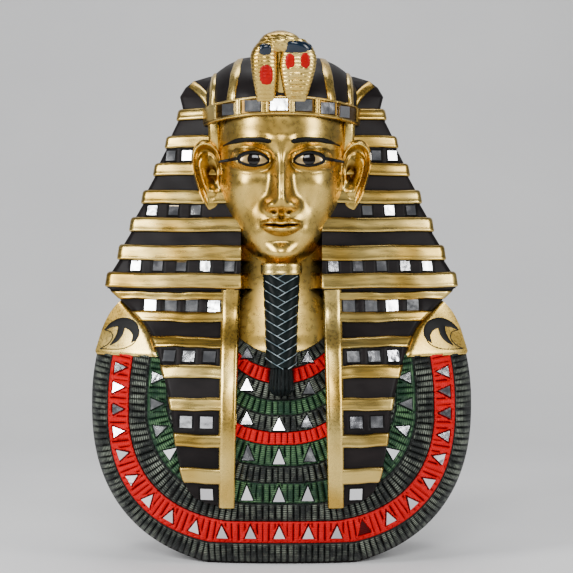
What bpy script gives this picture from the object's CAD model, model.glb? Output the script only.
"""Pharaoh bust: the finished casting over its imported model, with a plain stage and soft light.

Forms are worked out in figure units, as x to the right, depth towards the front and z upwards.
"""

import bpy
import numpy as np
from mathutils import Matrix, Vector

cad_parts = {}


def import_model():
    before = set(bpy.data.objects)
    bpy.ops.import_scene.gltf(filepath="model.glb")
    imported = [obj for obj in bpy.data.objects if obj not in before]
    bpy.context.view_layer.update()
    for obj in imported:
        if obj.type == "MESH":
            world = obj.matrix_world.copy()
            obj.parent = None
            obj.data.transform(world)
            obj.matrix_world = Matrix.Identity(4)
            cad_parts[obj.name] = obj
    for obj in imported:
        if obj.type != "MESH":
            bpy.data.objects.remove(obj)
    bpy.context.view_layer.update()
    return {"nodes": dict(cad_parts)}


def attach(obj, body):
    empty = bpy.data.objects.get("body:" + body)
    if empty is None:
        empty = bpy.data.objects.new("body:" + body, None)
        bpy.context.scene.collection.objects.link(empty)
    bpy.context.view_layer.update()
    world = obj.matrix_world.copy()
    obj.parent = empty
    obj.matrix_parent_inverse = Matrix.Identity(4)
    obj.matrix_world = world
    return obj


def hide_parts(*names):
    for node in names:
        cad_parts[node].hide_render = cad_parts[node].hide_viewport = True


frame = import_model()

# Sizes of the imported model: figure units, 468 of them to the bust's height; tiles in metres
HEIGHT = 0.468
TILE_THICKNESS = 0.0016
BROW_TILE = (0.0150, 0.0098)
WING_TILE = (0.0090, 0.0090)
LAPPET_TILE = (0.0110, 0.0100)
TRIANGLE_WIDTH = 0.0104
UNIT = HEIGHT / 468
MIDDLE_DEPTH = -6.07
COLLAR_HALF = 172.5
COLLAR_MID = 147.0
COLLAR_DROP = 153.0
COLLAR_POWER = 2.5
COLLAR_TOP = 187.0
COLLAR_TAPER = 0.024
NECK_RING_HALF = 62.0
NECK_RING_MID = 255.0
SKIN = 6.0
NECK_SQUARE = 0.36
CAP_RISE = 3.0
BANDS = (21.0, 20.5, 16.3, 18.7, 15.0, 19.0, 11.1, 14.5, 12.6, 14.6, 12.1, 12.6)
COLLAR_SPAN = sum(BANDS)
BEAD_RISE = 2.0
BROW_PLACES = (-46.5, -25.0, -2.0, 19.5, 40.5, 56.0)
WING_ROWS = ((364.6, (86, 101)), (314.8, (77, 97.5, 117.5)), (264.8, (46, 68, 89.5, 111, 131.5)))
LAPPET_ROWS = ((229.5, (60, 80, 99, 118)), (186.3, (63, 81.5, 99)), (130.3, (65, 83)), (67.0, (65,)))
TRIANGLE_ROWS = (
    (67.0, 0.0136, (-30, -2, 23)), (101.0, 0.0136, (-29, -2, 25)), (129.0, 0.0108, (-30, -2, 22)),
    (156.0, 0.0108, (-30, 24)), (181.5, 0.0096, (-30, 23)),
)
RIM_DROP = 9.0
RIM_WIDTH = 13.0
TIERS = 7
TIER_TOP = 407.5
TIER_PITCH = 24.75
TIER_HALF = 94.5
TIER_STEP = 10.6
WING_FOOT = 245.0
WING_ROOT = 36.0
STRIPE_RISE = 2.0
HOOD = ((419.0, 93.5), (428.0, 88.5), (434.0, 81.0), (438.0, 68.0), (440.5, 52.0))
DOME_STRIPES = ((44.0, 36.0, 452.5, 9.5), (62.0, 59.5, 439.5, 9.0))
DOME_ROUND = 0.92
TEMPLE_STRIPE = (63.0, 397.0, 20.0, 34.0)
TEMPLE_WIDTH = 8.0
EAR_STRAP = (59.0, 66.0, 367.0, 399.0, 45.0)
LAPPET_BARS = (
    (242.0, 234.5), (224.5, 215.0), (203.0, 193.5), (179.0, 167.5),
    (151.5, 140.0), (120.5, 108.5), (90.5, 76.0),
)
LAPPET_FOOT = 56.5
LAPPET_RISE = 7.0
BORDER_WIDTH = (16.0, 13.0)
EAR_X = 65.5
EAR_Z = 347.0
EAR_HALF = 13.5
EAR_UP = 31.0
EAR_DOWN = 36.0
EAR_LEAN = 0.11
EAR_POINTS = 108
BROW_BAND = 396.5
BAND_DROP = 0.0014
BAND_HALF = 67.0
BAND_LIP = 1.5
BAND_RISE = 3.0
BAND_WIDTH = 14.5
DOME_TOP = 456.5
BEARD_TOP = 261.0
BEARD_TUFT = 178.5
BEARD_END = 154.0
CHEVRONS = 10
QUEUE_RINGS = 5
QUEUE_FOOT = 118.0
QUEUE_PITCH = 28.5
VULTURE = (
    (-13, 85, 408, 8, 6), (-13.5, 90, 417.5, 9, 6.5), (-14, 94, 429, 10.5, 7.5), (-14.5, 96, 438.5, 11, 8.5),
    (-14.5, 96, 447, 11.5, 10), (-12.5, 96, 453, 11, 11.5), (-10, 95, 458.5, 9, 10.5),
)
COBRA = (
    (12.5, 84, 408, 8.5, 6), (13, 90, 417.5, 11, 6.5), (13.5, 93, 427.5, 13.5, 7), (14, 95, 438.5, 15.5, 7.5),
    (14.5, 95.5, 447, 15, 8.5), (12.5, 96, 454, 13.5, 11), (9, 96, 460, 11, 11),
)
CROWN = ((-1, 94, 449, 13, 9), (-1, 95, 455, 17.5, 12), (-1, 94, 461, 16.5, 12), (-1, 92, 465.5, 11, 9),
         (-1, 91, 468, 5, 4))
CREST_BACK = ((1, 72, 415, 15, 12), (1, 74, 433, 18, 14), (1, 77, 447, 18, 15), (1, 82, 457, 16, 14),
              (0, 86, 463, 10, 8))


def blend(at, keys, values):
    """A smooth curve through a few points, level beyond its ends."""
    keys = np.asarray(keys, float)
    values = np.asarray(values, float)
    slopes = np.gradient(values, keys)
    at = np.clip(at, keys[0], keys[-1])
    i = np.clip(np.searchsorted(keys, at, side="right") - 1, 0, len(keys) - 2)
    gap = keys[i + 1] - keys[i]
    u = (at - keys[i]) / gap
    near = (1 + 2 * u) * (1 - u) ** 2 * values[i] + u * (1 - u) ** 2 * gap * slopes[i]
    far = u * u * (3 - 2 * u) * values[i + 1] + u * u * (u - 1) * gap * slopes[i + 1]
    return near + far


def step(at, start, end):
    """0 before start, 1 after end, smooth between."""
    u = np.clip((at - start) / (end - start), 0, 1)
    return u * u * (3 - 2 * u)


def bump(x, z, middle_x, middle_z, wide, tall):
    """A soft mound, 1 high at its middle."""
    return np.exp(-(((x - middle_x) / wide) ** 2) - ((z - middle_z) / tall) ** 2)


def peak(at, middle, wide):
    """A soft ridge, 1 high at its middle."""
    return np.exp(-(((at - middle) / wide) ** 2))


def bent(value, power):
    """A power of a number's size, with its sign kept."""
    return np.sign(value) * np.abs(value) ** power


def joined(*parts):
    """Coordinates, some of which may be single numbers, as points."""
    return np.stack(np.broadcast_arrays(*parts), axis=-1)


def round_over(share):
    """A half circle's height along a share from 0 to 1."""
    return np.sqrt(max(1 - (2 * share - 1) ** 2, 0))


def runs(*spans):
    """Evenly spaced numbers in several spans of start, end and count."""
    return np.concatenate([np.linspace(*span) for span in spans])


def unit(vector):
    return vector / np.linalg.norm(vector)


def world(points):
    """Figure units (x, depth, z) to metres."""
    x, depth, z = np.moveaxis(np.asarray(points, float), -1, 0)
    return joined(x * UNIT, (MIDDLE_DEPTH - depth) * UNIT, z * UNIT)


def drawn_in(z):
    """How much of its full width the collar keeps where it draws in below the shoulders."""
    return 1 - COLLAR_TAPER * np.clip((z - COLLAR_MID) / (COLLAR_TOP - COLLAR_MID), 0, 1) ** 2


def outline_half(z):
    below = np.clip((COLLAR_MID - z) / COLLAR_DROP, 0, 1)
    return COLLAR_HALF * (1 - below**COLLAR_POWER) ** (1 / COLLAR_POWER) * drawn_in(z)


def shoulder_half(z):
    return blend(z, (187, 195, 213, 225, 233, 242, 252, 262), (169.3, 167, 161, 154, 146, 130, 100, 70))


def chest(x, z):
    """Depth of the chest's front, under the collar."""
    middle = blend(z, (0, 30, 70, 110, 150, 190, 212, 235, 262), (66, 78, 88, 92, 88, 74, 64, 54, 46))
    return middle - 55 * np.abs(x / COLLAR_HALF) ** 2.4


def back_depth(z):
    return blend(z, (0, 40, 100, 160, 200, 240, 262), (62, 74, 84, 86, 82, 74, 68))


def ring_shape(inset):
    """Half width, middle height, drop and power of the collar ring that lies inset from the rim."""
    share = inset / COLLAR_SPAN
    closing = np.minimum(1.2 + 1.75 * share, 1.9)
    half = NECK_RING_HALF + (COLLAR_HALF - NECK_RING_HALF) * (1 - share) ** closing
    middle = COLLAR_MID + (NECK_RING_MID - COLLAR_MID) * share**1.7
    drop = middle - inset + (COLLAR_DROP - COLLAR_MID) * np.clip(1 - inset / 60, 0, 1)
    power = COLLAR_POWER + 0.4 * np.sin(np.pi * np.clip(share * 2.2, 0, 1)) - 0.5 * share
    return half, middle, drop, power


def ring(inset, along):
    """x and z on a collar ring; along runs from -1 at its left end to 1 at its right end."""
    share = inset / COLLAR_SPAN
    half, middle, drop, power = ring_shape(inset)
    straight = 0.84
    widest = np.pi / 2 * (1 - 0.38 * share)
    turn = np.clip(along / straight, -1, 1) * widest
    x = half * bent(np.sin(turn), 2 / power)
    z = middle - drop * np.abs(np.cos(turn)) ** (2 / power)
    z = np.maximum(z, inset + 0.4)
    end = middle - drop * np.cos(widest) ** (2 / power)
    rise = np.maximum(COLLAR_TOP + 1.5 - end, 2)
    z = z + rise * np.clip((np.abs(along) - straight) / (1 - straight), 0, 1)
    return x * drawn_in(z), z


def ring_level(inset, x):
    """Height of a collar ring's lower arc at x."""
    half, middle, drop, power = ring_shape(inset)
    return middle - drop * (1 - (abs(x) / half) ** power) ** (1 / power)


def face_half(z):
    return blend(z, (262, 268, 275, 285, 300, 318, 340, 362, 385, 412),
                 (12, 22, 32, 41, 50, 57, 61, 62.5, 62, 60))


def face_front(z):
    return blend(z, (262, 266, 272, 282, 300, 320, 345, 360, 375, 395, 412),
                 (52, 64, 73, 77, 77, 77, 79, 79, 83, 85, 83))


def ear_loop(grow, depth):
    """A level of the right ear: egg-shaped, narrower and drawn in towards the lobe."""
    turn = np.linspace(0, 2 * np.pi, EAR_POINTS, endpoint=False)
    tall = np.where(np.sin(turn) > 0, EAR_UP, EAR_DOWN)
    z = EAR_Z + grow * tall * np.sin(turn)
    x = EAR_X + grow * EAR_HALF * np.cos(turn) * (1 + 0.32 * np.sin(turn)) + EAR_LEAN * (z - EAR_Z)
    return joined(x, depth + 0.04 * (x - EAR_X), z)


def dome_half(z):
    return blend(z - DOME_TOP, (-76, -57, -48, -38, -25, -14.5, -6.5, -2.5, 0),
                 (68, 69, 69.5, 69.5, 66, 57, 44, 33, 12))


def dome_front(z):
    return blend(z - DOME_TOP, (-76, -57, -40, -28, -18, -10, -4.5, 0), (85, 86, 84, 77, 66, 52, 36, 8))


def dome_back(z):
    return blend(z - DOME_TOP, (-76, -57, -40, -26, -16, -8, 0), (110, 106, 99, 88, 75, 58, 12))


def band_foot(x):
    """Height of the brow band's lower edge, which drops towards the ears."""
    return BROW_BAND - BAND_DROP * x * x


def dome_point(turn, z, rise=0.0):
    """A point on the dome at a turn from the front, in radians."""
    across = (dome_half(z) + rise) * bent(np.sin(turn), DOME_ROUND)
    reach = np.where(np.cos(turn) > 0, dome_front(z), dome_back(z)) + rise
    depth = reach * bent(np.cos(turn), DOME_ROUND)
    return joined(across, depth, z + 0 * across)


def dome_turn(x, z):
    """Turn from the front at which the dome is x wide at height z."""
    return np.sign(x) * np.arcsin(np.clip(np.abs(x) / dome_half(z), 0, 1) ** (1 / DOME_ROUND))


def temple_point(share, across):
    """x and z on the temple stripe, from its foot outwards and up; across runs from -1 to 1."""
    foot_x, foot_z, out, up = TEMPLE_STRIPE
    x = foot_x + out * share**1.8
    z = foot_z + up * share**0.8
    lean = np.arctan2(out * 1.8 * share**0.8, up * 0.8)
    return x + across * TEMPLE_WIDTH / 2 * np.cos(lean), z - across * TEMPLE_WIDTH / 2 * np.sin(lean)


def tier_span(tier):
    """Top, bottom, half width at the top and at the bottom of a raised wing band."""
    top = TIER_TOP - TIER_PITCH * tier
    tall = 11.0 + 0.65 * tier
    half = TIER_HALF + TIER_STEP * tier
    return top, top - tall, half, half + 2.0


def wing_half(z):
    """Half width of the dark ground of the wings: it steps out under each raised band."""
    keys, values = [], []
    for tier in range(TIERS - 1, -1, -1):
        top, bottom, wide_top, wide_bottom = tier_span(tier)
        keys += [bottom, top]
        values += [wide_bottom - STRIPE_RISE, wide_top - 4.0]
    for height, half in HOOD:
        keys.append(height)
        values.append(half)
    return np.interp(z, keys, values)


def wing_front(x, z, half):
    """Depth of the wing's face, which falls back from the neck towards the tip."""
    root = blend(z, (245, 280, 320, 360, 410, 441), (65, 58, 46, 37, 32, 12))
    tip = blend(z, (245, 300, 350, 410, 441), (28, 20, 12, 6, -8))
    share = np.clip((np.abs(x) - WING_ROOT) / (half - WING_ROOT), 0, 1)
    return tip + (root - tip) * (1 - share) ** 0.85


def lappet_outer(z):
    return blend(z, (57, 60.5, 67, 75, 94, 119, 148, 168, 190, 211, 228, 244),
                 (56, 70, 79.5, 84, 89.5, 93.5, 98, 103.5, 110.5, 122, 139.5, 157))


def lappet_inner(z):
    return blend(z, (49, WING_FOOT), (41.5, 37.5))


def lappet_depth(x, z):
    on_chest = chest(x, z) + LAPPET_RISE
    under_wing = wing_front(x, WING_FOOT, 157.0) - 3.0
    return on_chest + (under_wing - on_chest) * step(z, 192, 243)


def border_outer(z):
    return lappet_inner(z) + blend(z, (49, 245), (BORDER_WIDTH[1], BORDER_WIDTH[0]))


def beard_middle(z):
    return blend(z, (BEARD_END, BEARD_TUFT, BEARD_TOP), (98, 91, 65))


def triangle(size):
    """Corners of an upright triangle about its middle."""
    base, tall = size
    return [(-base / 2, -tall / 2), (base / 2, -tall / 2), (0, tall / 2)]


SIDES = (("left", -1), ("right", 1))
chance = np.random.default_rng(7)


# Meshes


def build(name, points, faces, paint, uv=None, hollow=None, facing=None, sharp=50):
    """A piece of the bust from figure points. facing is a direction that its faces look along."""
    mesh = bpy.data.meshes.new(name)
    flat = world(np.asarray(points, float).reshape(-1, 3))
    faces = np.asarray(faces)
    corners = flat[faces]
    normal = np.cross(corners[:, 2] - corners[:, 0], corners[:, -1] - corners[:, 1])
    middle = corners.mean(axis=1)
    toward = middle - flat.mean(axis=0) if facing is None else np.asarray(facing, float)
    if (normal * toward).sum() < 0:
        faces = faces[:, ::-1]
    mesh.from_pydata(flat.tolist(), [], faces.tolist())
    corner_vertex = faces.reshape(-1)
    if uv is not None:
        layer = mesh.uv_layers.new(name="UVMap")
        layer.data.foreach_set("uv", np.asarray(uv, float).reshape(-1, 2)[corner_vertex].ravel())
    if hollow is not None:
        values = mesh.attributes.new("hollow", "FLOAT", "POINT")
        values.data.foreach_set("value", np.asarray(hollow, float).ravel())
    mesh.shade_smooth()
    mesh.set_sharp_from_angle(angle=np.radians(sharp))
    piece = bpy.data.objects.new(name, mesh)
    bpy.context.scene.collection.objects.link(piece)
    mesh.materials.append(paint)
    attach(piece, "root")
    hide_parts("bust")
    return piece


def grid_faces(rows, columns, around=False):
    """Quads of a grid of points; around joins its last column to its first."""
    index = np.arange(rows * columns).reshape(rows, columns)
    if around:
        index = np.concatenate([index, index[:, :1]], axis=1)
    return joined(index[:-1, :-1], index[:-1, 1:], index[1:, 1:], index[1:, :-1]).reshape(-1, 4)


def rim_of(rows, columns):
    """Indices round a grid's border."""
    index = np.arange(rows * columns).reshape(rows, columns)
    return np.concatenate([index[0, :-1], index[:-1, -1], index[-1, :0:-1], index[:0:-1, 0]])


def sheet(name, points, paint, sink=5.0, hollow=None, uv=None, sharp=50):
    """A grid of figure points as a surface whose border turns back into the body by sink."""
    points = np.asarray(points, float)
    rows, columns = points.shape[:2]
    faces = grid_faces(rows, columns)
    flat = points.reshape(-1, 3)
    edge = rim_of(rows, columns)
    skirt = flat[edge] - (0, sink, 0)
    first = len(flat)
    low = first + np.arange(len(edge))
    wall = joined(edge, np.roll(edge, -1), np.roll(low, -1), low)
    if uv is not None:
        uv = np.concatenate([np.asarray(uv).reshape(-1, 2), np.asarray(uv).reshape(-1, 2)[edge]])
    if hollow is not None:
        hollow = np.concatenate([np.asarray(hollow).ravel(), np.full(len(edge), 1.0)])
    return build(name, np.concatenate([flat, skirt]), np.concatenate([faces, wall]), paint, uv, hollow,
                 (0, -1, 0), sharp)


def solid(name, loops, paint, hollow=None, sharp=50):
    """A closed body through rings of figure points, its ends drawn in to their middles."""
    loops = np.asarray(loops, float)
    ends = [np.repeat(loops[i].mean(axis=0)[None, None], loops.shape[1], axis=1) for i in (0, -1)]
    shrink = 0.002
    low = ends[0] + (loops[:1] - ends[0]) * shrink
    high = ends[1] + (loops[-1:] - ends[1]) * shrink
    whole = np.concatenate([low, loops, high])
    if hollow is not None:
        hollow = np.concatenate([np.asarray(hollow)[:1], hollow, np.asarray(hollow)[-1:]])
    rows, columns = whole.shape[:2]
    return build(name, whole, grid_faces(rows, columns, around=True), paint, None, hollow, None, sharp)


def waver(x, z, size, seed):
    """A slow uneven wave, as of hand modelling, of about one unit's height."""
    return (np.sin(x / size + seed * 1.7) * np.cos(z / size * 1.3 + seed * 2.9)
            + 0.5 * np.sin(x / size * 2.3 + z / size * 1.9 + seed)) * 0.6


# Materials


class Ink:
    """A paint in the making: its material, with short calls for the nodes it is mixed from."""

    def __init__(self, name):
        self.made = bpy.data.materials.new(name)
        self.made.use_nodes = True
        self.nodes, self.links = self.made.node_tree.nodes, self.made.node_tree.links

    def fill(self, node, values):
        """Give a node's inputs their numbers, colours or links."""
        for name, value in values.items():
            socket = node.inputs[name]
            if isinstance(value, bpy.types.NodeSocket):
                self.links.new(value, socket)
            elif socket.type == "RGBA":
                socket.default_value = (*value, 1)
            else:
                socket.default_value = value
        return node

    def add(self, kind, values, output):
        return self.fill(self.nodes.new("ShaderNode" + kind), values).outputs[output]

    def finish(self, values):
        self.fill(self.nodes["Principled BSDF"], values)
        return self.made

    def noise(self, scale, stretch=(1, 1, 1), detail=4.0, rough=0.55):
        place = self.add("TexCoord", {}, "Object")
        place = self.add("Mapping", {"Scale": stretch, "Vector": place}, "Vector")
        return self.add("TexNoise", {"Scale": scale, "Detail": detail, "Roughness": rough, "Vector": place},
                        "Fac")

    def ramp(self, value, *stops):
        ramp = self.nodes.new("ShaderNodeValToRGB")
        for element, (position, colour) in zip(ramp.color_ramp.elements, stops):
            element.position = position
            element.color = (*colour, 1)
        return self.fill(ramp, {"Fac": value}).outputs["Color"]

    def mix(self, amount, low, high, mode="MIX"):
        mix = self.nodes.new("ShaderNodeMix")
        mix.data_type = "RGBA"
        mix.blend_type = mode
        return self.fill(mix, {"Factor": amount, "A": low, "B": high}).outputs["Result"]

    def remap(self, value, low, high, start=0.0, end=1.0):
        return self.add("MapRange", {"Value": value, "From Min": start, "From Max": end, "To Min": low,
                                     "To Max": high}, "Result")

    def bump(self, height, strength, distance, after=None):
        values = {"Height": height, "Strength": strength, "Distance": distance}
        return self.add("Bump", values if after is None else {**values, "Normal": after}, "Normal")

    def vector(self, operation, *values):
        node = self.nodes.new("ShaderNodeVectorMath")
        node.operation = operation
        return self.fill(node, dict(enumerate(values))).outputs["Vector"]

    def hollow(self):
        """How deep a point lies in a hollow, from 0 to 1, as the meshes carry it."""
        node = self.nodes.new("ShaderNodeAttribute")
        node.attribute_name = "hollow"
        return node.outputs["Fac"]


def gold(name, streak=(14, 14, 14), dark=(0.085, 0.040, 0.006), main=(0.52, 0.325, 0.062),
         pale=(0.75, 0.545, 0.165)):
    """Brushed satin gold paint over a dark base that shows in the hollows."""
    ink = Ink(name)
    broad = ink.noise(22, detail=1)
    fine = ink.noise(30, streak, 2, 0.5)
    coat = ink.mix(ink.hollow(), ink.ramp(broad, (0.36, main), (0.62, pale)), dark)
    return ink.finish({
        "Base Color": ink.mix(1.0, coat, ink.remap(fine, 0.93, 1.05, 0.3, 0.7), "MULTIPLY"),
        "Metallic": 1.0,
        "Roughness": ink.remap(fine, 0.25, 0.32, 0.3, 0.7),
        "Normal": ink.bump(fine, 0.02, 0.0002, ink.bump(broad, 0.3, 0.0010)),
    })


def satin(name, dark, main, pale, roughness, scale=26.0, stretch=(1, 1, 1), spread=(0.35, 0.72), shine=0.3):
    """An even matt or satin paint, slightly mottled, with a soft brush grain."""
    ink = Ink(name)
    broad = ink.noise(scale, stretch, 5, 0.6)
    tone = ink.ramp(broad, (spread[0], main), (spread[1], pale))
    return ink.finish({
        "Base Color": ink.mix(ink.remap(ink.hollow(), 1.0, 0.0), dark, tone),
        "Roughness": ink.remap(broad, roughness - 0.08, roughness + 0.08, 0.3, 0.7),
        "Specular IOR Level": shine,
        "Normal": ink.bump(ink.noise(420, detail=2), 0.35, 0.0001, ink.bump(broad, 0.35, 0.0006)),
    })


def bead_paint(name, groove, body, brushed, amount, roughness=0.5, gloss=0.2):
    """Thread-wrapped beads: dark grooves, the body colour, and a lighter tone brushed over the crowns."""
    ink = Ink(name)
    wave = ink.nodes.new("ShaderNodeTexWave")
    wave.bands_direction = "Y"
    wrap = ink.fill(wave, {"Scale": 0.75, "Distortion": 1.6, "Detail": 1.5, "Detail Scale": 1.2,
                           "Vector": ink.add("UVMap", {}, "UV")}).outputs["Fac"]
    black, white = (0, 0, 0), (1, 1, 1)
    hollow = ink.hollow()
    picked = ink.ramp(ink.noise(60, rough=0.65), (0.62 - amount, black), (0.86 - amount, white))
    brush = ink.mix(1.0, picked, ink.ramp(wrap, (0.35, black), (0.75, white)), "MULTIPLY")
    brush = ink.mix(1.0, brush, ink.remap(hollow, 1.0, 0.0, 0.05, 0.45), "MULTIPLY")
    deep = ink.remap(hollow, 0.0, 1.0, 0.35, 0.9)
    return ink.finish({
        "Base Color": ink.mix(deep, ink.mix(brush, body, brushed), groove),
        "Roughness": roughness,
        "Specular IOR Level": gloss,
        "Normal": ink.bump(wrap, 0.7, 0.0005),
    })


def plain(name, colour, roughness, metallic=0.0, coat=0.0, shine=0.5):
    """An even glossy paint with faint waviness."""
    ink = Ink(name)
    broad = ink.noise(90, detail=3)
    return ink.finish({
        "Base Color": ink.ramp(broad, (0.35, tuple(c * 0.7 for c in colour)), (0.65, colour)),
        "Roughness": roughness,
        "Metallic": metallic,
        "Specular IOR Level": shine,
        "Coat Weight": coat,
        "Normal": ink.bump(broad, 0.15, 0.0004),
    })


def mirror_glass():
    """Cut mirror: bright with faint ripples, its tone and lean a little different from tile to tile."""
    ink = Ink("mirror glass")
    number = ink.add("ObjectInfo", {}, "Random")
    ripple = ink.noise(90, detail=2)
    white_noise = ink.nodes.new("ShaderNodeTexWhiteNoise")
    white_noise.noise_dimensions = "1D"
    lean = ink.fill(white_noise, {"W": number}).outputs["Color"]
    lean = ink.vector("MULTIPLY_ADD", lean, (0.36, 0.20, 0.36), (-0.18, -0.10, -0.13))
    return ink.finish({
        "Base Color": ink.ramp(number, (0.0, (0.50, 0.50, 0.53)), (1.0, (0.93, 0.94, 0.95))),
        "Metallic": 1.0,
        "Roughness": ink.remap(ripple, 0.08, 0.24, 0.35, 0.7),
        "Normal": ink.vector("NORMALIZE", ink.vector("ADD", ink.bump(ripple, 0.35, 0.0008), lean)),
    })


GOLD = gold("gold paint")
GOLD_BRUSHED = gold("gold paint brushed along x", (1.2, 4, 14))
GOLD_SKIN = gold("gold paint on the face", (7, 7, 7), (0.09, 0.040, 0.006), (0.54, 0.34, 0.070),
                 (0.68, 0.47, 0.125))
EYE_GOLD = plain("eye gold", (0.62, 0.42, 0.17), 0.22, 0.55, 0.7)
CHARCOAL = satin("charcoal paint", (0.0012, 0.001, 0.001), (0.0055, 0.0044, 0.0046), (0.014, 0.011, 0.011),
                 0.42, 16, (1, 1, 3), shine=0.09)
DARK = satin("dark ground", (0.004, 0.004, 0.004), (0.012, 0.011, 0.011), (0.02, 0.019, 0.018), 0.6)
RED_BEADS = bead_paint("red beads", (0.06, 0.001, 0.002), (0.50, 0.0012, 0.0035), (0.74, 0.008, 0.012),
                       0.16, 0.42, 0.12)
GREEN_BEADS = bead_paint("green beads", (0.002, 0.006, 0.004), (0.007, 0.028, 0.013), (0.12, 0.24, 0.10),
                         0.24)
BLACK_BEADS = bead_paint("black beads", (0.002, 0.002, 0.002), (0.009, 0.011, 0.010), (0.24, 0.27, 0.21),
                         0.19)
LINE_BLACK = plain("gloss black line", (0.003, 0.003, 0.003), 0.45, shine=0.15)
IRIS = plain("dark iris", (0.006, 0.004, 0.003), 0.12, 0.0, 0.25, 0.3)
PLAIT = satin("plait black green", (0.001, 0.0015, 0.0015), (0.004, 0.006, 0.006), (0.006, 0.010, 0.010),
              0.38, 60, spread=(0.4, 0.7), shine=0.05)
SILVER = satin("plait silver blue", (0.010, 0.014, 0.016), (0.12, 0.17, 0.19), (0.42, 0.50, 0.53),
               0.34, 180, spread=(0.42, 0.62))
PATCH_RED = plain("ornament red", (0.40, 0.0006, 0.0015), 0.34, shine=0.12)
PATCH_BLUE = plain("ornament blue", (0.001, 0.009, 0.022), 0.20)
MIRROR = mirror_glass()


# Body, collar and shoulders


def torso_loop(z, half, rise, count=72):
    turn = np.radians(np.linspace(-90, 90, count))
    across = half * np.sin(turn)
    front = joined(across, chest(across, z) + rise(across), z)
    back = joined(across[::-1], -back_depth(z) * np.abs(np.cos(turn)) ** 0.8, z)
    return np.concatenate([front[:-1], back[:-1]])


def body():
    levels = np.concatenate([[0, 3, 8], np.linspace(14, 186, 50)])
    solid("body_back", [torso_loop(z, outline_half(z) - 2, lambda a: -SKIN + 0 * a) for z in levels],
          CHARCOAL)
    levels = np.concatenate([[184.5, 185.6, 187.2], np.linspace(190, 250, 44), [253, 256]])
    loops = []
    for z in levels:
        ease = 1.4 * np.clip((187.2 - z) / 2.7, 0, 1)
        half = shoulder_half(z) - ease

        def rise(across, ease=ease, z=z):
            beside = lappet_outer(z) - 6
            lift = step(np.abs(across), beside, beside + 10)
            return -SKIN + (SKIN + CAP_RISE - ease + 0.35 * waver(across, z, 9, 3)) * lift
        loops.append(torso_loop(z, half, rise, 110))
    solid("shoulders", loops, GOLD)


RINGS = (BLACK_BEADS, RED_BEADS, BLACK_BEADS, GREEN_BEADS, BLACK_BEADS, GREEN_BEADS,
         RED_BEADS, BLACK_BEADS, GREEN_BEADS, BLACK_BEADS, RED_BEADS, BLACK_BEADS)
BEAD_PITCH = 5.4
RED_RING = 31.3
GREEN_RING = 67.2
RING_TILE = (0.0106, 0.0130)
RED_START = (-1.9, 31.7)
TILE_STEPS = (25.4, 25.3, 24.5, 24.3, 24.0, 23.6, 23.1, 20.3, 20.0, 19.6, 18.0)
GREEN_PLACES = ((108.6, 167.4), (109.3, 144.4), (105.9, 122.7), (96.2, 103.1))
LOST_TILE = 3
TILE_GAP = 0.9
TILE_FRAME = 1.4


def ring_points(inset, along, lift=0.0):
    x, z = ring(inset, along)
    return joined(x, chest(x, z) + lift, z)


def ring_length(inset, count):
    """Points along a ring from -1 to 1, and the length of the ring up to each."""
    along = np.linspace(-1, 1, count)
    gaps = np.linalg.norm(np.diff(ring_points(inset, along), axis=0), axis=1)
    return along, np.concatenate([[0], np.cumsum(gaps)])


def outward_of(right, up):
    outward = np.cross(right, up)
    return -outward if outward[1] < 0 else outward


def ring_spot(inset, along):
    """Place of a tile on the collar, turned with its ring: point, right, up, outward and size."""
    def at(ring_inset, ring_along):
        return ring_points(ring_inset, np.array([ring_along]), BEAD_RISE)[0]
    right = unit(at(inset, along + 0.004) - at(inset, along - 0.004))
    up = at(inset + 1.5, along) - at(inset - 1.5, along)
    up = unit(up - right * (up @ right))
    return at(inset, along), right, up, outward_of(right, up), RING_TILE


def along_at(inset, x, z):
    """Where on a ring the nearest point to (x, z) lies."""
    along = np.linspace(-0.999, 0.999, 4000)
    ring_x, ring_z = ring(inset, along)
    return along[np.argmin((ring_x - x) ** 2 + (ring_z - z) ** 2)]


def front_spot(x, z, size):
    """Place of an upright tile on the collar's front."""
    reach = 0.8
    right = unit(np.array([2 * reach, chest(x + reach, z) - chest(x - reach, z), 0]))
    up = unit(np.array([0, chest(x, z + reach) - chest(x, z - reach), 2 * reach]))
    return np.array([x, chest(x, z) + BEAD_RISE, z]), right, up, outward_of(right, up), size


def collar_spots():
    """Places of the collar's tiles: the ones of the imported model, then the ones added on the rings."""
    packed = [front_spot(x, ring_level(inset, x), (TRIANGLE_WIDTH, tall))
              for inset, tall, places in TRIANGLE_ROWS for x in places]
    along, length = ring_length(RED_RING, 3001)
    start = np.interp(along_at(RED_RING, *RED_START), along, length)
    added, lost = [ring_spot(RED_RING, np.interp(start, length, along))], None
    for sign in (-1, 1):
        reach = start
        for number, pitch in enumerate(TILE_STEPS, 1):
            reach += sign * pitch
            spot = ring_spot(RED_RING, np.interp(reach, length, along))
            if sign == 1 and number == LOST_TILE:
                lost = spot
            else:
                added.append(spot)
    for sign in (-1, 1):
        for x, z in GREEN_PLACES:
            added.append(ring_spot(GREEN_RING, along_at(GREEN_RING, sign * x, z)))
    return packed, added, lost


def off_triangle(points, spot):
    """Distance of figure points outside the triangle lying at a spot; negative inside."""
    origin, right, up, _, size = spot
    local_x = (points - origin) @ right
    local_y = (points - origin) @ up
    base, tall = size[0] / UNIT / 2, size[1] / UNIT
    slant = np.hypot(base, tall)
    below = -tall / 2 - local_y
    beside = (np.abs(local_x) * tall + (local_y - tall / 2) * base) / slant
    return np.maximum(below, beside)


def rim_drop(inset):
    """How far the collar falls back towards its outer rim."""
    return RIM_DROP * np.clip(1 - inset / RIM_WIDTH, 0, 1) ** 2


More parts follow.
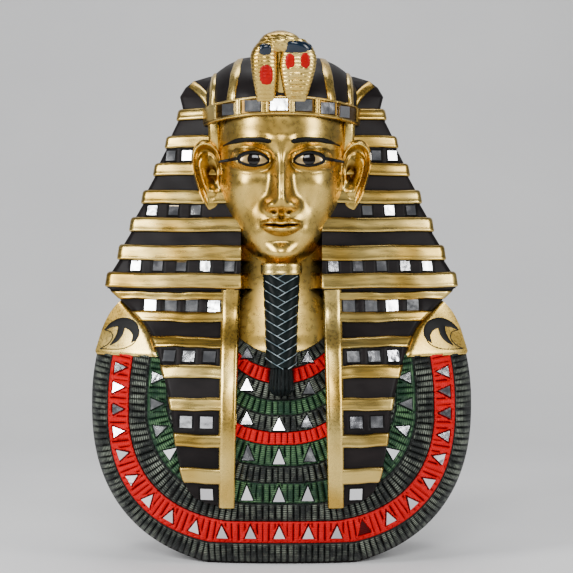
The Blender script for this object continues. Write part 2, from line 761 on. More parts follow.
def collar(spots):
    """Rings of beads, broken by the recesses of the tiles, over a dark ground."""
    edges = np.concatenate([[0], np.cumsum(BANDS)])
    sample = np.array([0, 0.1, 0.24, 0.42, 0.58, 0.76, 0.9])
    swell = np.array([0, 0.55, 0.87, 1, 1, 0.87, 0.55])
    for number, paint in enumerate(RINGS):
        start, width = edges[number], BANDS[number]
        middle = start + width / 2
        along, length = ring_length(middle, 4001)
        beads = int(round(length[-1] / BEAD_PITCH))
        uneven = chance.uniform(-0.12, 0.12, beads)
        phase = (np.arange(beads)[:, None] + uneven[:, None] + sample[None, :]).ravel()
        profile = np.tile(swell, beads)
        tall = np.repeat(chance.uniform(0.82, 1.12, beads), len(sample))
        lean = np.repeat(chance.uniform(-0.5, 0.5, beads), len(sample))
        order = np.argsort(phase)
        phase, profile, tall, lean = phase[order], profile[order], tall[order], lean[order]
        rows = 15 if paint == BLACK_BEADS else 19
        rope = 1.0 if paint == RED_BEADS else 0.45
        grid, hollow, uv = [], [], []
        near = [spot for spot in spots if off_middle(spot[0], middle) < width]
        place = np.interp(phase / beads * length[-1], length, along)
        outer = reach_to(start, middle, place)
        inner = reach_to(start + width, middle, place)
        centre_x, centre_z = ring(middle, place)
        ahead_x, ahead_z = ring(middle, np.clip(place + 0.002, -1, 1))
        behind_x, behind_z = ring(middle, np.clip(place - 0.002, -1, 1))
        run = np.hypot(ahead_x - behind_x, ahead_z - behind_z)
        inward_x, inward_z = -(ahead_z - behind_z) / run, (ahead_x - behind_x) / run
        for v in np.linspace(0, 1, rows):
            across = np.where(v < 0.5, outer * (2 * v - 1), inner * (2 * v - 1))
            slip = lean * (v - 0.5)
            x = centre_x + inward_x * across + inward_z * slip
            z = np.maximum(centre_z + inward_z * across - inward_x * slip, 0.4)
            points = joined(x, chest(x, z), z)
            from_edge = min(v, 1 - v)
            crown = np.sqrt(1 - (1 - min(from_edge / 0.16, 1)) ** 2)
            lip = peak(from_edge, 0.06, 0.045)
            relief = profile * tall * crown * (BEAD_RISE + 1.0) - 0.9
            relief = np.maximum(relief, lip * BEAD_RISE * rope * (1 + 0.15 * np.sin(phase * 9)) - 0.4)
            deep = (1 - np.clip(profile * crown, 0, 1)) * (1 - 0.8 * lip * rope)
            for spot in near:
                off = off_triangle(points, spot)
                inside, framed = off < TILE_GAP, off < TILE_GAP + TILE_FRAME
                relief = np.where(inside, 0.3, np.where(framed, BEAD_RISE + 0.4, relief))
                deep = np.where(inside, 0.9, np.where(framed, 0.05, deep))
            relief = np.where(z > COLLAR_TOP - 1, np.minimum(relief, 1.2), relief)
            points[:, 1] += relief - rim_drop(start + width * v)
            grid.append(points)
            hollow.append(deep)
            uv.append(joined(phase, v * width / 4 + 3.1 * number))
        sheet(f"bead_ring_{number + 1}", grid, paint, 4.0, hollow, uv, sharp=70)
    along = np.linspace(-1, 1, 160)
    ground = [ring_points(inset, along, -1.1 - rim_drop(inset)) for inset in np.linspace(0, COLLAR_SPAN, 60)]
    sheet("collar_ground", ground, DARK, 14.0)


def reach_to(inset, middle, place):
    """How far each point of the middle ring lies from another ring."""
    x, z = ring(inset, np.linspace(-1, 1, 1201))
    from_x, from_z = ring(middle, place)
    return np.sqrt(((x[None] - from_x[:, None]) ** 2 + (z[None] - from_z[:, None]) ** 2).min(axis=1))


def off_middle(point, inset):
    """How far a point of the collar lies from a ring, in figure units."""
    x, z = ring(inset, np.linspace(-1, 1, 400))
    return np.sqrt((x - point[0]) ** 2 + (z - point[2]) ** 2).min()


GROUND_EDGE = 0.35


def tile_mesh(name, outline, spot):
    """A cut mirror tile standing in its recess, its front edges ground off."""
    origin, right, up, outward = spot[:4]
    outline = np.asarray(outline) / UNIT
    inner = outline - np.sign(outline) * GROUND_EDGE
    thick = TILE_THICKNESS / UNIT
    loops = [(inner * 0.02, -thick), (outline, -thick), (outline, -0.25), (inner, 0.0), (inner * 0.02, 0.0)]
    points = np.array([[origin + right * x + up * y + outward * lift for x, y in loop]
                       for loop, lift in loops])
    return build(name, points, grid_faces(len(loops), len(outline), around=True), MIRROR, sharp=20)


def added_tiles(spots):
    for number, spot in enumerate(spots, 1):
        origin, right, up, outward = spot[:4]
        tilt = chance.uniform(-0.05, 0.05, 2)
        outward = unit(outward + right * tilt[0] + up * tilt[1])
        right = right - outward * (right @ outward)
        up = up - outward * (up @ outward)
        tile_mesh(f"ring_tile_{number}", triangle(RING_TILE), (origin, right, up, outward))


# Neck and head


def neck():
    loops, hollow = [], []
    for z in np.linspace(170, 290, 80):
        half = blend(z, (170, 200, 230, 260, 290), (66, 60, 52, 47, 46))
        front = blend(z, (170, 190, 205, 222, 245, 290), (66, 71.5, 66, 60, 54, 51))
        turn = np.radians(np.arange(0, 360, 4))
        depth = np.where(np.cos(turn) > 0, front, -40) * np.abs(np.cos(turn)) ** NECK_SQUARE
        loops.append(joined(half * np.sin(turn), depth, z))
        shade = step(z, 216, 256) * (0.30 + 0.55 * np.sin(turn) ** 2)
        hollow.append(np.where(np.cos(turn) > 0, shade, 0.5))
    solid("neck", loops, GOLD_SKIN, hollow)


EYE_X = 24.5
EYE_Z = 358.0
EYE_HALF = 13.0
EYE_SINK = 1.6
IRIS_RADIUS = 5.6
LID_UP = 5.8
LID_DOWN = 4.2
EYE_SLANT = 0.05


def lid_lines(side):
    """Heights of the upper and lower lid edges at a distance from the face's middle."""
    s = np.clip((side - EYE_X) / EYE_HALF, -1, 1)
    open_share = (1 - np.abs(s) ** 1.8) ** (1 / 1.5)
    level = EYE_Z + EYE_SLANT * (side - EYE_X)
    return level + LID_UP * open_share, level - LID_DOWN * open_share


def off_eye(side, z):
    """Rough distance outside the opening of the eye; negative inside."""
    s = np.abs(side - EYE_X) / EYE_HALF
    rise = z - EYE_Z - EYE_SLANT * (side - EYE_X)
    t = np.abs(rise) / np.where(rise > 0, LID_UP, LID_DOWN)
    return ((s ** 1.8 + t ** 1.5) ** (1 / 1.65) - 1) * 5.5


def eye_ball(side, z):
    """Depth of the eyeball's surface."""
    reach = 1 - ((side - EYE_X) / 21.0) ** 2 - ((z - EYE_Z) / 17.0) ** 2
    return 62.5 + 15.0 * np.sqrt(np.clip(reach, 0.02, 1)) - 0.10 * (side - EYE_X)


FACE_BUMPS = (  # height, then middle x and z, width and tallness
    (7.0, 11.2, 318.8, 4.6, 5.0), (-4.0, 6.3, 312.6, 2.7, 1.7),  # wings of the nose, nostrils
    (-7.5, 24.5, 360, 16, 10.5), (-3.6, 11.5, 356, 5.0, 8.0),  # eye sockets and their inner ends
    (3.6, 37, 337, 15, 13), (-2.4, 40, 305, 15, 17), (-1.2, 22, 322, 5.0, 12),  # cheeks
    (4.4, 0, 300.5, 24, 15), (-0.9, 19.5, 301.6, 3.4, 4.2),  # mouth's mound and corners
    (-1.5, 0, 311, 2.3, 4.5), (0.7, 4.6, 311, 1.8, 4.5),  # groove over the lip
    (-3.4, 0, 287.5, 14, 4.8), (5.4, 0, 275.5, 14.5, 9), (-1.4, 58, 352, 9, 20),  # under lip, chin, temples
)


def face_relief(x, z):
    """Forward relief of a calm, plain face over the head's form."""
    side = np.abs(x)
    ridge = blend(z, (308, 312, 316, 322, 332, 345, 356, 366, 380), (0, 5, 13.5, 18.5, 16.5, 11.5, 7.5, 4, 0))
    spread = blend(z, (308, 318, 326, 336, 352, 366, 378), (8.6, 9.2, 8.4, 7.2, 6.6, 8.0, 10.5))
    relief = ridge * np.exp(-((side / spread) ** 2.3))
    for height, *place in FACE_BUMPS:
        relief += height * bump(side, z, *place)
    brow = 375.5 - ((side - 27) / 27) ** 2 * 4.6
    relief += 3.0 * peak(z, brow, 4.6) * step(side, 4, 14) * (1 - step(side, 42, 54))
    line = 301.4 + 0.5 * (side / 17) ** 2 - 0.8 * bump(side, z, 0, 301.4, 3.4, 20)
    top = 308.6 - 3.6 * np.clip(side / 18.5, 0, 1) ** 1.5 - 1.3 * bump(side, z, 0, 308, 2.8, 20)
    low = 291.8 + 7.0 * np.clip(side / 18.0, 0, 1) ** 2.2
    wide = np.clip(1 - (side / 18.6) ** 4, 0, 1)
    upper = np.clip((z - line) / (top - line), 0, 1)
    lower = np.clip((line - z) / (line - low), 0, 1)
    relief += 4.8 * wide * np.where(z > line, np.sin(np.pi * upper ** 0.62), 0) * (z < top + 0.01)
    relief += 5.8 * wide * np.where(z <= line, np.sin(np.pi * lower ** 0.66), 0) * (z > low - 0.01)
    relief -= 2.2 * wide * peak(z, line, 1.0)
    return relief


def face_depth(x, z):
    half = face_half(z)
    turn = np.arcsin(np.clip(x / half, -1, 1))
    side = np.abs(x)
    skin = face_front(z) * np.abs(np.cos(turn)) ** 0.85 + face_relief(x, z)
    upper, _ = lid_lines(side)
    ball = eye_ball(side, z)
    out = off_eye(side, z)
    near = 1 - step(out, 1.2, 9.0)
    lid = ball + 1.8 - 0.05 * np.clip(out, 0, 9) ** 1.6
    crease = 1.6 * peak(z - upper, 4.2, 1.0) * (1 - step(np.abs(side - EYE_X), 9, 15))
    surface = skin + (np.maximum(lid, skin) - skin) * near - crease
    opening = ball - EYE_SINK
    lid_edge = np.minimum(surface, opening + 3.8 * out)
    return np.where(out < 0, opening, np.where(out < 0.9, lid_edge, surface))


def soften(grid, times):
    """A grid of numbers evened out with its neighbours."""
    for _ in range(times):
        wide = np.pad(grid, 1, mode="edge")
        grid = (wide[:-2, 1:-1] + wide[2:, 1:-1] + wide[1:-1, :-2] + wide[1:-1, 2:] + 2 * grid) / 6
    return grid


def head():
    levels = runs((261, 288, 34), (288.7, 378, 146), (379, 412, 24))
    turn = np.radians(runs((-90, -52, 26), (-51, 51, 196), (52, 90, 26)))
    loops, depths = [], []
    for z in levels:
        x = face_half(z) * np.sin(turn)
        front = joined(x, face_depth(x, z), z)
        back = [(x[-1] * 0.7, -30, z), (0, -36, z), (x[0] * 0.7, -30, z)]
        loops.append(np.concatenate([front, back]))
        depths.append(front[:, 1])
    depths = np.asarray(depths)
    hollow = np.clip((soften(depths, 60) - depths) / 2.6, 0, 1)
    solid("head", loops, GOLD_SKIN, np.pad(hollow, ((0, 0), (0, 3))), sharp=60)


def eyes():
    for name, sign in SIDES:
        grid, iris = [], []
        s = np.linspace(-1, 1, 50)
        side = EYE_X + s * EYE_HALF * 1.05
        opening = 1.05 * np.clip(1 - np.abs(s) ** 1.8, 0.002, 1) ** (1 / 1.5)
        for v in np.linspace(-1, 1, 30):
            z = EYE_Z + EYE_SLANT * (side - EYE_X) + v * opening * (LID_UP if v > 0 else LID_DOWN)
            grid.append(joined(sign * side, eye_ball(side, z), z))
        sheet(f"eye_{name}", grid, EYE_GOLD, 3.0)
        for r in np.linspace(0.02, 1, 10):
            t = np.linspace(0, 2 * np.pi, 49)
            side = EYE_X - 0.4 + IRIS_RADIUS * r * np.cos(t)
            z = EYE_Z + 0.9 + IRIS_RADIUS * r * np.sin(t)
            iris.append(joined(sign * side, eye_ball(side, z) + 0.35 - 0.25 * r ** 4, z))
        sheet(f"iris_{name}", iris, IRIS, 1.0)


def painted_line(name, path, widths, lift, depth_at):
    """A painted or raised line lying on the face along a path of (x, z), with a width at each point."""
    path = np.asarray(path, float)
    widths = np.asarray(widths, float)
    slope = np.gradient(path, axis=0)
    slope /= np.linalg.norm(slope, axis=1)[:, None]
    across = joined(-slope[:, 1], slope[:, 0])
    grid = []
    for v in np.linspace(-1, 1, 9):
        place = path + across * (widths / 2 * v)[:, None]
        depth = depth_at(place[:, 0], place[:, 1]) + lift * (1 - v ** 4) + 0.12
        grid.append(joined(place[:, 0], depth, place[:, 1]))
    sheet(name, grid, LINE_BLACK, 1.6)


def skin_depth(x, z):
    """The face without its eye openings, for lines that cross them."""
    depth = face_depth(x, z)
    return np.maximum(depth, eye_ball(np.abs(x), z) + 1.6 - 0.04 * (np.abs(x) - EYE_X) ** 2 * 0.2)


def face_lines():
    for name, sign in SIDES:
        side = np.linspace(8.5, 52, 70)
        brow = 375.8 - ((side - 27) / 27) ** 2 * 4.9
        width = 4.4 * np.clip((side - 7.5) / 3.0, 0.4, 1) * np.clip((54 - side) / 14, 0.35, 1)
        painted_line(f"brow_{name}", joined(sign * side, brow), width, 0.9, face_depth)
        side = np.linspace(EYE_X - EYE_HALF - 1.2, EYE_X + EYE_HALF, 60)
        upper, lower = lid_lines(side)
        tail = np.linspace(EYE_X + EYE_HALF + 0.8, 55.5, 24)
        tail_z = 359.2 - 0.020 * (tail - 37.5) ** 1.6
        path = np.concatenate([joined(side, upper + 1.1), joined(tail, tail_z)])
        width = np.concatenate([np.linspace(2.4, 3.4, 60), np.linspace(3.4, 2.0, 24)])
        painted_line(f"upper_lid_line_{name}", path * (sign, 1), width, 0.5, skin_depth)
        path = joined(side, lower - 0.9)
        painted_line(f"lower_lid_line_{name}", path * (sign, 1), np.linspace(1.8, 2.6, 60), 0.4, skin_depth)


EAR_BUMPS = ((-7.0, -3.0, 0.5, 5.6, 10.5), (-2.2, -1.5, 17.5, 4.8, 5.5), (3.4, -10.5, -2.0, 3.0, 5.0),
             (2.2, -2.0, -15.0, 4.6, 4.0), (1.6, -3.0, -27.0, 6.5, 8.0))


def ears():
    turn = np.linspace(0, 2 * np.pi, EAR_POINTS, endpoint=False)
    degrees = (np.degrees(turn) + 90) % 360 - 90
    rim = step(degrees, -68, -30) * (1 - step(degrees, 170, 215))
    for name, sign in SIDES:
        loops, hollow = [ear_loop(1.0, 12.0), ear_loop(1.0, 30.0)], [0 * turn, 0 * turn]
        for grow in runs((1.0, 0.9, 9), (0.88, 0.04, 40)):
            loop = ear_loop(grow, 39.0)
            z = loop[:, 2] - EAR_Z
            x = loop[:, 0] - EAR_X - EAR_LEAN * z
            inner = step(degrees, -80, -40) * (1 - step(degrees, 60, 95))
            relief = (4.6 * peak(grow, 0.87, 0.085) - 1.6 * peak(grow, 0.68, 0.07)) * rim
            relief += 2.8 * peak(grow, 0.48, 0.11) * inner
            for height, *place in EAR_BUMPS:
                relief += height * bump(x, z, *place)
            edge = np.clip((grow - 0.9) / 0.1, 0, 1)
            relief -= 5.5 * (1 - np.sqrt(1 - edge * edge))
            loop[:, 1] += relief
            loops.append(loop)
            hollow.append(np.clip(-relief / 4.5, 0, 1) * (grow < 0.9))
        loops = np.asarray(loops) * (sign, 1, 1)
        solid(f"ear_{name}", loops, GOLD_SKIN, hollow, sharp=60)


# Headdress


def dome():
    turn = np.radians(np.arange(0, 360, 2.5))
    across = BAND_HALF * np.sin(turn)
    foot = np.where(np.cos(turn) > 0, band_foot(across), band_foot(BAND_HALF))
    start = foot + BAND_LIP + BAND_WIDTH + 0.7
    loops = [dome_point(turn, start - 8, 0.0)]
    for share in runs((0, 0.9, 44), (0.92, 1, 10)):
        uneven = 0.25 * waver(across, share * 60, 12, 1)
        loops.append(dome_point(turn, start + (DOME_TOP - start) * share, uneven))
    solid("dome", loops, CHARCOAL)


def off_oblong(x, z, middle_x, middle_z, size, slant=0.0):
    """Distance outside an oblong in figure units; negative inside."""
    local_x = x - middle_x
    local_z = z - middle_z - slant * local_x
    return np.maximum(np.abs(local_x) - size[0] / UNIT / 2, np.abs(local_z) - size[1] / UNIT / 2)


def brow_band():
    degrees = np.linspace(-96, 96, 700)
    turn = np.radians(degrees)
    tall = BAND_LIP + BAND_WIDTH
    ups = np.concatenate([np.linspace(-0.3, 1.8, 9), np.linspace(2.1, tall, 44), [tall + 0.4]])
    spots = [(x, band_foot(x) + BAND_LIP + BAND_WIDTH / 2) for x in BROW_PLACES]
    grid, hollow = [], []
    for up in ups:
        plain_x = BAND_HALF * np.sin(turn)
        z = band_foot(plain_x) + up
        base = dome_point(turn, z, 0.0)
        x = base[:, 0]
        edge = min(up + 0.3, tall + 0.4 - up)
        rise = 1 + BAND_RISE - 1.4 * max(1 - edge / 1.6, 0) ** 2 - 0.7 * peak(up, 1.9, 0.35) + 0 * x
        deep = 0 * x + 0.7 * peak(up, 1.9, 0.4) + (0.8 if up < 0.1 else 0)
        if edge > 1:
            for spot_x, spot_z in spots:
                off = off_oblong(x, z, spot_x, spot_z, BROW_TILE, -2 * BAND_DROP * spot_x)
                rise = rise - 1.2 * (1 - step(off, 0.6, 1.3)) + 0.35 * peak(off, 1.9, 0.7)
                deep = np.maximum(deep, 0.95 * (1 - step(off, 0.7, 1.4)))
        points = dome_point(turn, z, 0.0)
        outward = dome_point(turn, z, 1.0) - points
        points = points + outward * (rise + 0.15 * waver(x, z, 7, 2))[:, None]
        grid.append(points)
        hollow.append(np.clip(deep, 0, 1))
    sheet("brow_band", grid, GOLD_BRUSHED, 3.0, hollow)


def dome_stripes():
    across = np.array([-1, -0.96, -0.86, -0.6, -0.2, 0.2, 0.6, 0.86, 0.96, 1])
    for side, sign in SIDES:
        for number, (foot_x, crown_x, high, width) in enumerate(DOME_STRIPES, 1):
            low = band_foot(foot_x) + BAND_LIP + BAND_WIDTH - 1
            grid = []
            for share in np.linspace(0, 1, 60):
                z = low + (high - low) * np.sin(share * np.pi / 2)
                turn = sign * dome_turn(foot_x + (crown_x - foot_x) * share, z)
                half_turn = width / 2 / max(dome_half(z), 40.0)
                wobble = 1 + 0.05 * np.sin(share * 17 + number)
                lift = STRIPE_RISE * (1 - np.abs(across) ** 8) + 0.15 * np.sin(share * 23 + across)
                grid.append(dome_point(turn + across * half_turn * wobble, z, lift))
            sheet(f"dome_stripe_{side}_{number}", grid, GOLD, 4.0)
        grid = []
        for share in np.linspace(0, 1, 40):
            x, z = temple_point(share, across)
            lift = STRIPE_RISE * (1 - np.abs(across) ** 8)
            grid.append(joined(sign * x, wing_front(x, z, wing_half(z)) + lift, z))
        sheet(f"temple_stripe_{side}", grid, GOLD, 5.0)
        inner, outer, foot, top, reach = EAR_STRAP
        inner -= 3.0
        grid = []
        for z in np.linspace(foot, top, 30):
            v = np.linspace(-1, 1, 11)
            x = (inner + outer) / 2 + v * (outer - inner) / 2 - 1.5 * ((top - z) / (top - foot)) ** 2
            depth = reach - 2 - 2 * v - 3.0 * np.abs(v) ** 5 - 5.0 * ((top - z) / (top - foot)) ** 3
            grid.append(joined(sign * x, depth, z))
        sheet(f"ear_strap_{side}", grid, GOLD, 22.0)


def wing_ring(z, half, rise, count=90):
    """One fine level of the headdress below the dome."""
    share = np.linspace(0, 1, count)
    right = WING_ROOT + (half - WING_ROOT) * share
    depth = wing_front(right, z, half) + rise
    depth = depth - 2.4 * np.clip((share - 0.955) / 0.045, 0, 1) ** 2
    back_reach = blend(z, (245, 300, 350, 410, 441), (112, 117, 117, 104, 70)) + rise
    recess = 20 - 1.5 * rise
    start = np.array([[0, recess, z], [WING_ROOT - 1 - 0.4 * rise, recess, z]])
    front = joined(right, depth, z)
    turn = np.radians(np.linspace(4, 88, 40))
    back = joined(half * np.abs(np.cos(turn)) ** 0.9, -10 - (back_reach - 10) * np.abs(np.sin(turn)) ** 0.9,
                     z)
    side = np.concatenate([start, front, back])
    other = side[:0:-1] * (-1, 1, 1)
    return np.concatenate([side, [[0, -back_reach, z]], other])


def tile_dish(x, z, rows, size):
    """How deep the ground is sunk round the tiles, and how dark."""
    sunk = np.zeros_like(x)
    for row_z, places in rows:
        if np.abs(z - row_z).min() > 12:
            continue
        for place in places:
            off = off_oblong(np.abs(x), z, place, row_z, size)
            sunk = np.maximum(sunk, 1 - step(off, 0.7, 1.7))
    return sunk


def wings():
    levels = [WING_FOOT + 0.5]
    for tier in range(TIERS - 1, -1, -1):
        top, bottom, _, _ = tier_span(tier)
        levels += [bottom, *np.linspace(top, top + 13.3 if tier else top + 4, 14)]
    levels = np.unique(np.concatenate([levels, np.linspace(TIER_TOP + 1, HOOD[-1][0], 26)]))
    loops, hollow = [], []
    for z in levels:
        half = wing_half(z)
        loop = wing_ring(z, half, 0.0, 150)
        x, depth = loop[:, 0], loop[:, 1]
        front = (depth > 0) & (np.abs(x) > WING_ROOT + 1)
        sunk = np.where(front, tile_dish(x, np.full(len(x), z), WING_ROWS, WING_TILE), 0)
        loop[:, 1] = depth - 0.9 * sunk + np.where(front, 0.3 * waver(x, z, 11, 4), 0)
        gap = min(abs(z - edge) for tier in range(TIERS) for edge in tier_span(tier)[:2])
        loops.append(loop)
        hollow.append(np.clip(0.85 * sunk + 0.6 * np.exp(-gap / 1.2), 0, 1))
    solid("headdress_ground", loops, CHARCOAL, hollow)


def wing_bands():
    for tier in range(TIERS):
        top, bottom, wide_top, wide_bottom = tier_span(tier)
        bottom = max(bottom, WING_FOOT)
        tall = top - bottom
        profile = ((0, -0.6), (0.35, 1.0), (1.0, 2.1), (2.0, 2.6), (3.0, 2.4), (4.2, 1.9), (tall * 0.55, 1.9),
                   (tall - 2.6, 1.9), (tall - 1.2, 1.5), (tall - 0.3, 0.6), (tall, -0.6))
        loops, hollow = [], []
        for up, rise in profile:
            z = bottom + up
            half = wide_bottom + (wide_top - wide_bottom) * up / tall
            half += np.interp(up, (0, 1.2, tall - 1.6, tall), (-1.2, 0, 0, -1.6))
            loop = wing_ring(z, half, rise)
            front = (loop[:, 1] > 0) & (np.abs(loop[:, 0]) > WING_ROOT + 1)
            loop[:, 1] += np.where(front, 0.3 * waver(loop[:, 0], z, 9, tier), 0)
            loop[:, 2] += np.where(front, 0.35 * np.sin(loop[:, 0] / 13 + tier * 1.3), 0)
            loops.append(loop)
            tone = np.interp(up / tall, (0, 0.06, 0.14, 0.34, 0.55, 0.84, 1),
                             (0.9, 0.05, 0, 0.30, 0.12, 0.16, 0.75))
            hollow.append(np.full(len(loop), tone))
        solid(f"wing_band_{tier + 1}", loops, GOLD_BRUSHED, hollow)


# Lappets


def lappets():
    heights = np.linspace(LAPPET_FOOT, 246.5, 150)
    share = np.linspace(0, 1, 64)
    for side, sign in SIDES:
        grid, hollow = [], []
        for z in heights:
            inner = lappet_inner(z)
            x = inner + (lappet_outer(z) - inner) * share
            depth = lappet_depth(x, z) - 2.5 * np.clip((share - 0.94) / 0.06, 0, 1) ** 2
            sunk = tile_dish(x, np.full(len(x), z), LAPPET_ROWS, LAPPET_TILE)
            gap = min(abs(z - edge) for bar in LAPPET_BARS for edge in bar)
            from_border = np.abs(x - border_outer(z))
            beside = np.exp(-gap / 1.3) + np.exp(-from_border / 1.5)
            hollow.append(np.clip(0.8 * sunk + 0.6 * beside, 0, 1))
            depth = depth - 0.9 * sunk + 0.25 * waver(x, z, 10, 5)
            grid.append(joined(sign * x, depth, z))
        sheet(f"lappet_{side}", grid, CHARCOAL, 11.0, hollow)
        bar_sheets(side, sign)


def bar_sheets(side, sign):
    for number, (top, bottom) in enumerate(LAPPET_BARS, 1):
        grid, hollow = [], []
        for v in np.array([0, 0.03, 0.09, 0.18, 0.3, 0.5, 0.7, 0.84, 0.93, 0.98, 1]):
            z = bottom + (top - bottom) * v
            share = np.linspace(0, 1, 80)
            inner = border_outer(z) - 2
            x = inner + (lappet_outer(z) + 0.8 - inner) * share
            level = z + 0.45 * np.sin(x / 11 + number * 1.9) + 0.2 * np.sin(x / 4 + number)
            rise = STRIPE_RISE * (1 - np.abs(2 * v - 1) ** 7) + 0.55 * peak(v, 0.14, 0.09)
            rise = rise - 2.2 * np.clip((share - 0.95) / 0.05, 0, 1) ** 2 + 0.2 * waver(x, z, 6, number)
            grid.append(joined(sign * x, lappet_depth(x, z) + rise, level))
            tone = np.interp(v, (0, 0.05, 0.15, 0.4, 0.6, 0.9, 1), (0.8, 0.05, 0, 0.16, 0.08, 0.12, 0.7))
            hollow.append(np.full(80, tone) + 0.5 * np.clip((share - 0.97) / 0.03, 0, 1))
        sheet(f"lappet_bar_{side}_{number}", grid, GOLD_BRUSHED, 4.0, hollow)
    grid = []
    for z in np.linspace(LAPPET_FOOT - 1, 245.5, 120):
        inner, outer = lappet_inner(z) - 0.8, border_outer(z)
        v = np.array([0, 0.05, 0.14, 0.3, 0.5, 0.7, 0.86, 0.95, 1])
        x = inner + (outer - inner) * v
        rise = (STRIPE_RISE + 0.8) * (1 - np.abs(2 * v - 1) ** 6) + 0.25 * waver(x, z, 8, 7)
        grid.append(joined(sign * x, lappet_depth(x, z) + rise, z))
    sheet(f"lappet_border_{side}", grid, GOLD, 9.0)


# Beard, ornament and queue


def beard_turn(count):
    return np.radians(np.linspace(-96, 96, count))


def beard_size(z):
    """Half width and reach of the plait, which widens a little upwards."""
    share = (z - BEARD_TUFT) / (BEARD_TOP - BEARD_TUFT)
    return 12.6 + 3.4 * share, 11.6 + 1.2 * share


def beard_ring(z, half, reach, relief):
    middle = beard_middle(z)
    turn = beard_turn(len(relief))
    x = (half + relief) * np.sin(turn)
    front = joined(x, middle + (reach + relief) * np.cos(turn), z)
    web = blend(z, (BEARD_END, BEARD_TUFT, BEARD_TOP), (86, 79, 40))
    back = np.array([(half * 0.55, web, z), (0, web, z), (-half * 0.55, web, z)])
    return np.concatenate([front, back])


STRAND_SLOPE = 0.56
STRAND_CROSS = 3.6


def plait_relief(across, z, pitch):
    """Two rows of slanting strands that pass under each other at the front."""
    right = across > STRAND_CROSS * (2 * np.abs((z / pitch) % 1 - 0.5) - 0.5) * 2
    level = z - BEARD_TUFT - STRAND_SLOPE * np.abs(across)
    phase = (level / pitch + np.where(right, 0.5, 0.0)) % 1
    lobe = np.sin(np.pi * phase) ** 0.5
    return 0.8 * lobe - 0.3, 0.8 * (1 - lobe)


def beard():
    strap = []
    for v in np.linspace(0, 1, 12):
        edge = 1 - abs(2 * v - 1) ** 6
        strap.append(beard_ring(BEARD_TOP - 3 + 10 * v, 17.3, 12.8, np.full(44, 0.9 * edge)))
    solid("beard_strap", strap, GOLD)
    turn = beard_turn(120)
    pitch = (BEARD_TOP - BEARD_TUFT) / CHEVRONS
    loops, hollow = [], []
    for z in np.linspace(BEARD_TUFT, BEARD_TOP, 260):
        half, reach = beard_size(z)
        relief, deep = plait_relief(half * np.sin(turn), z, pitch)
        loops.append(beard_ring(z, half, reach, relief))
        hollow.append(np.concatenate([deep, np.ones(3)]))
    solid("beard_plait", loops, PLAIT, hollow, sharp=80)
    for number in range(-2, 2 * CHEVRONS + 3):
        sign = 1 if number % 2 else -1
        t = np.linspace(0, 1, 40)
        across = 14.2 - (14.2 + STRAND_CROSS) * t
        z = BEARD_TUFT + 0.5 * pitch * number + STRAND_SLOPE * across
        keep = (z > BEARD_TUFT - 1) & (z < BEARD_TOP - 0.5)
        if keep.sum() < 8:
            continue
        across, z = across[keep], z[keep]
        grid = []
        for v in np.linspace(-1, 1, 5):
            level = z + v * 0.36
            lift = 0.45 * (1 - v * v) + 0.42
            half, reach = (size + lift for size in beard_size(level))
            angle = np.arcsin(np.clip(across / half, -1, 0.995))
            depth = beard_middle(level) + reach * np.cos(angle)
            grid.append(joined(sign * half * np.sin(angle), depth, level))
        sheet(f"beard_strand_{number + 3}", grid, SILVER, 1.2)
    loops, hollow = [], []
    turn = beard_turn(90)
    for z in np.linspace(BEARD_END, BEARD_TUFT + 4, 70):
        half = blend(z - BEARD_END, (0, 3, 12, 20, 28), (5, 8.8, 10.2, 9.4, 8.8))
        strands = np.abs(np.sin(turn * 9 + 0.25 * np.sin(z / 6)))
        loops.append(beard_ring(z, half, half + 0.6, 1.1 * strands ** 0.7 - 0.6))
        hollow.append(np.concatenate([1 - strands, np.ones(3)]))
    solid("beard_tuft", loops, PLAIT, hollow, sharp=80)


def oval_ring(x, depth, z, half, reach, count=56, texture=0.0, phase=0.0):
    turn = np.linspace(0, 2 * np.pi, count, endpoint=False)
    ripple = texture * np.sin(turn * 14 + phase)
    return joined(x + (half + ripple) * np.sin(turn), depth + (reach + ripple) * np.cos(turn),
                     z)


def form(keys, count, texture=0.0, wave=0.0, pitch=3.2):
    """A fine body through a few ovals given as x, depth, z, half width and reach."""
    keys = np.asarray(keys, float)
    z = np.linspace(keys[0, 2], keys[-1, 2], count)
    loops = []
    for level in z:
        x, depth, half, reach = (blend(level, keys[:, 2], keys[:, i]) for i in (0, 1, 3, 4))
        grow = wave * abs(np.sin(np.pi * level / pitch))
        loops.append(oval_ring(x, depth, level, half + grow, reach + grow, 64, texture, level * 1.9))
    return loops


def form_front(keys, x, z):
    keys = np.asarray(keys, float)
    middle, depth, half, reach = (blend(z, keys[:, 2], keys[:, i]) for i in (0, 1, 3, 4))
    return depth + reach * np.sqrt(np.clip(1 - ((x - middle) / (half + 0.5)) ** 2, 0.05, 1))


def patch(name, keys, middle_x, middle_z, wide, tall, paint, lift, ribs=0.0):
    """A raised coloured cell on the ornament, oval with squarish sides."""
    grid = []
    for r in np.concatenate([np.linspace(0.02, 0.8, 8), (0.9, 0.97, 1.0)]):
        turn = np.linspace(0, 2 * np.pi, 57)
        x = middle_x + wide / 2 * r * bent(np.cos(turn), 0.75)
        z = middle_z + tall / 2 * r * bent(np.sin(turn), 0.75)
        depth = form_front(keys, x, z) + lift * (1 - r ** 6) + ribs * np.abs(np.sin(z * 1.15)) * (1 - r ** 4)
        grid.append(joined(x, depth, z))
    sheet(name, grid, paint, 1.5)


